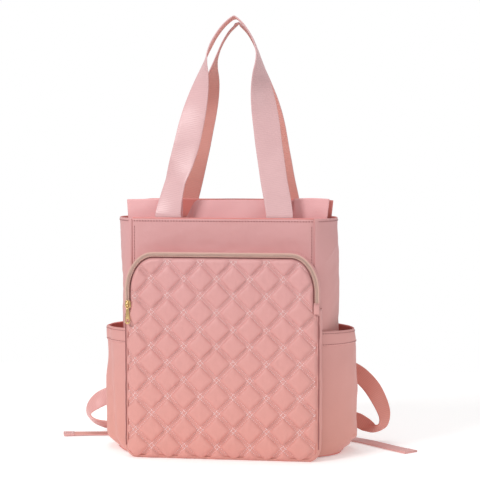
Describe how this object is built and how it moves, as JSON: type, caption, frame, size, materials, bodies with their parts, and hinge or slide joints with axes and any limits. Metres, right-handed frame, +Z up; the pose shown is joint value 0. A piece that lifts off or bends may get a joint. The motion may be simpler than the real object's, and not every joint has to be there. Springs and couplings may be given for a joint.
{
  "type": "diaper bag",
  "caption": "Upright zip-top diaper bag with a diamond-quilted front pocket, open side pockets, webbing hand loops and padded backpack straps.",
  "frame": {"origin": "middle of the base, on the surface that the bag stands on", "axes": "+Z up, +X to the right seen from the front, the quilted front pocket faces -Y"},
  "size_m": [0.5412, 0.2084, 0.6245],
  "materials": {
    "body_fabric": "smooth dusty pink nylon with a soft sheen",
    "quilted_fabric": "padded nylon quilted in diamonds with double stitching",
    "handle_webbing": "pale pink ribbed webbing with a satin sheen",
    "strap_webbing": "pink ribbed webbing",
    "strap_fabric": "padded salmon-pink nylon",
    "zip_tape": "woven beige-rose zip tape",
    "lining_fabric": "thin woven lining",
    "zip_coil": "moulded nylon coil",
    "zip_metal": "polished gold-coloured zinc",
    "buckle_plastic": "moulded pink plastic",
    "base_board_plastic": "plain stiffening board",
    "strap_foam": "open-cell foam"
  },
  "bodies": {
    "root": {"front_panel": "body_fabric", "back_panel": "body_fabric", "left_gusset": "body_fabric", "right_gusset": "body_fabric", "bottom_panel": "body_fabric", "base_board": "base_board_plastic", "lining": "lining_fabric", "collar_front": "body_fabric", "collar_back": "body_fabric", "top_zip_tape_front": "zip_tape", "top_zip_tape_back": "zip_tape", "top_zip_coil": "zip_coil", "top_zip_end_tabs": "body_fabric", "pocket_face": "quilted_fabric", "pocket_upper_gusset": "body_fabric", "pocket_lower_gusset": "body_fabric", "pocket_zip_tape_inner": "zip_tape", "pocket_zip_tape_outer": "zip_tape", "pocket_zip_coil": "zip_coil", "pocket_zip_stops": "zip_metal", "left_side_pocket": "body_fabric", "right_side_pocket": "body_fabric", "left_pocket_hem": "body_fabric", "right_pocket_hem": "body_fabric", "front_handle_ends": "handle_webbing", "back_handle_ends": "handle_webbing", "strap_yoke": "strap_fabric", "left_lower_webbing": "strap_webbing", "right_lower_webbing": "strap_webbing", "left_anchor_tab": "strap_fabric", "right_anchor_tab": "strap_fabric"},
    "front_handle": {"front_handle": "handle_webbing"},
    "back_handle": {"back_handle": "handle_webbing"},
    "top_zip_slider": {"top_zip_slider": "zip_metal"},
    "top_zip_pull": {"top_zip_pull": "zip_metal"},
    "pocket_zip_slider": {"pocket_zip_slider": "zip_metal"},
    "pocket_zip_pull": {"pocket_zip_pull": "zip_metal"},
    "left_strap": {"left_shoulder_strap": "strap_fabric", "left_strap_foam": "strap_foam", "left_lock_loop": "strap_webbing", "left_ladder_lock": "buckle_plastic", "left_webbing_tail": "strap_webbing", "left_tail_hem": "strap_webbing"},
    "right_strap": {"right_shoulder_strap": "strap_fabric", "right_strap_foam": "strap_foam", "right_lock_loop": "strap_webbing", "right_ladder_lock": "buckle_plastic", "right_webbing_tail": "strap_webbing", "right_tail_hem": "strap_webbing"}
  },
  "joints": [
    {"name": "front_handle_fold", "type": "hinge", "parent": "root", "child": "front_handle", "pos_m": [0, -0.065, 0.339], "axis": [1, 0, 0], "range_deg": [0, 140]},
    {"name": "back_handle_fold", "type": "hinge", "parent": "root", "child": "back_handle", "pos_m": [0, 0.065, 0.339], "axis": [-1, 0, 0], "range_deg": [0, 120]},
    {"name": "top_zip_slide", "type": "slide", "parent": "root", "child": "top_zip_slider", "axis": [1, 0, 0], "range_m": [0, 0.25]},
    {"name": "top_zip_pull_flip", "type": "hinge", "parent": "top_zip_slider", "child": "top_zip_pull", "pos_m": [-0.128, 0, 0.34005], "axis": [0, -1, 0], "range_deg": [0, 150]},
    {"name": "pocket_zip_slide", "type": "slide", "parent": "root", "child": "pocket_zip_slider", "axis": [0, 0, 1], "range_m": [0, 0.02]},
    {"name": "pocket_zip_pull_lift", "type": "hinge", "parent": "pocket_zip_slider", "child": "pocket_zip_pull", "pos_m": [-0.1325, -0.09825, 0.2185], "axis": [-1, 0, 0], "range_deg": [0, 150]},
    {"name": "left_strap_swing", "type": "hinge", "parent": "root", "child": "left_strap", "pos_m": [0, 0.0665, 0.321], "axis": [1, 0, 0], "range_deg": [0, 40]},
    {"name": "right_strap_swing", "type": "hinge", "parent": "root", "child": "right_strap", "pos_m": [0, 0.0665, 0.321], "axis": [1, 0, 0], "range_deg": [0, 40]}
  ]
}
